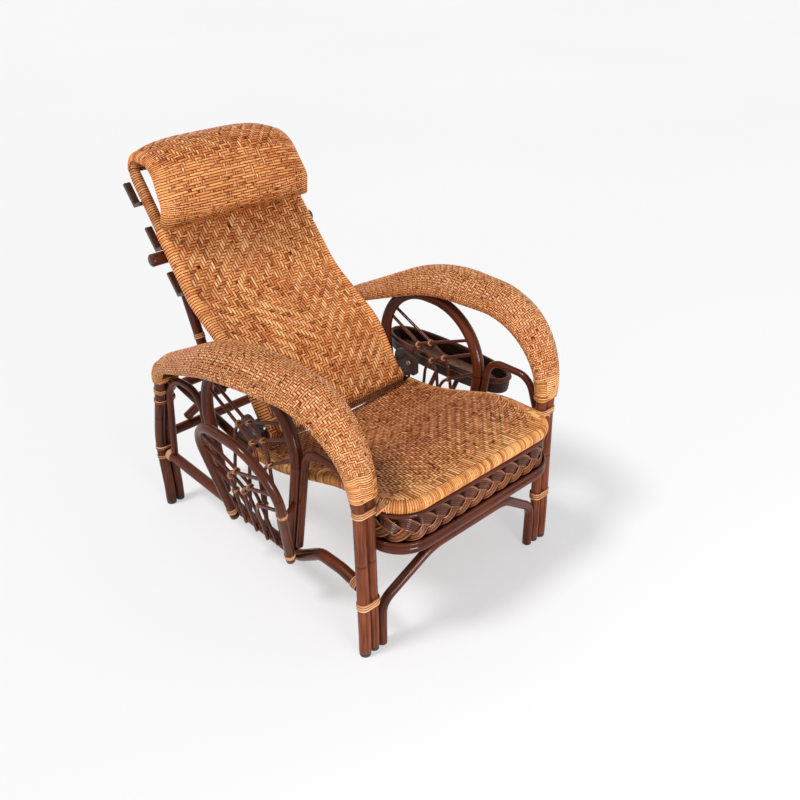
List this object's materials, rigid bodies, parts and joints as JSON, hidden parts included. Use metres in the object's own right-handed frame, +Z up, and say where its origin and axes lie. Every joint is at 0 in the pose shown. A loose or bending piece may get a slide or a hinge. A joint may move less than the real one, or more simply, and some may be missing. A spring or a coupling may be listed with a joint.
{
  "type": "folding rattan recliner",
  "caption": "Folding rattan recliner with a bent pole frame, woven arms, seat and back, a hinged back held by a swinging prop, side wheels, a magazine rack and a tray.",
  "frame": {"origin": "middle of the bounding box's footprint, on the floor", "axes": "the chair faces -Y, +Z is up, +X is to the right as seen from the front"},
  "size_m": [0.897, 1.1016, 1.0004],
  "materials": {
    "stained_pole": "semi-gloss dark stain",
    "honey_cane": "satin woven cane",
    "dark_braid": "satin plaited strip",
    "tray_weave": "matte dark weave",
    "blackened_steel": "blackened",
    "glide_rubber": "matte"
  },
  "bodies": {
    "frame": {"apron_braid": "dark_braid", "apron_rail_low": "stained_pole", "apron_rail_top": "stained_pole", "arm_pole_inner_left": "stained_pole", "arm_pole_inner_right": "stained_pole", "arm_pole_outer_left": "stained_pole", "arm_pole_outer_right": "stained_pole", "arm_weave_left": "honey_cane", "arm_weave_right": "honey_cane", "front_arch_left": "stained_pole", "front_arch_right": "stained_pole", "front_brace": "stained_pole", "glide_front_inner_left": "glide_rubber", "glide_front_inner_right": "glide_rubber", "glide_front_outer_left": "glide_rubber", "glide_front_outer_right": "glide_rubber", "glide_rear_inner_left": "glide_rubber", "glide_rear_inner_right": "glide_rubber", "glide_rear_outer_left": "glide_rubber", "glide_rear_outer_right": "glide_rubber", "hinge_plate_left": "blackened_steel", "hinge_plate_right": "blackened_steel", "prop_axle": "stained_pole", "rack_hoop": "stained_pole", "rack_spacer": "stained_pole", "rack_trellis": "stained_pole", "rear_arch_left": "stained_pole", "rear_arch_right": "stained_pole", "rear_brace": "stained_pole", "rear_stretcher_high": "stained_pole", "rear_stretcher_low": "stained_pole", "seat_cross_rail": "stained_pole", "seat_pole": "stained_pole", "seat_weave": "honey_cane", "side_rail_left": "stained_pole", "side_rail_right": "stained_pole", "tray_pan": "tray_weave", "tray_rim": "stained_pole", "tray_strut_front": "stained_pole", "tray_strut_rear": "stained_pole", "wheel_hoop_left": "stained_pole", "wheel_hoop_right": "stained_pole", "wheel_trellis_left": "stained_pole", "wheel_trellis_right": "stained_pole"},
    "back": {"back_bottom_roll": "honey_cane", "back_hooks_left": "stained_pole", "back_hooks_right": "stained_pole", "back_stile_left": "stained_pole", "back_stile_right": "stained_pole", "back_weave": "honey_cane", "headrest_weave": "honey_cane", "hinge_pin_left": "blackened_steel", "hinge_pin_right": "blackened_steel"},
    "prop": {"prop_leg_left": "stained_pole", "prop_leg_right": "stained_pole", "prop_rod": "stained_pole"}
  },
  "joints": [
    {"name": "back_fold", "type": "hinge", "parent": "frame", "child": "back", "pos_m": [-0.005, 0.01048, 0.39584], "axis": [1, 0, 0], "range_deg": [0, 122]},
    {"name": "prop_swing", "type": "hinge", "parent": "frame", "child": "prop", "pos_m": [-0.005, 0.25815, 0.37244], "axis": [1, 0, 0], "range_deg": [-31.5, 0]}
  ]
}
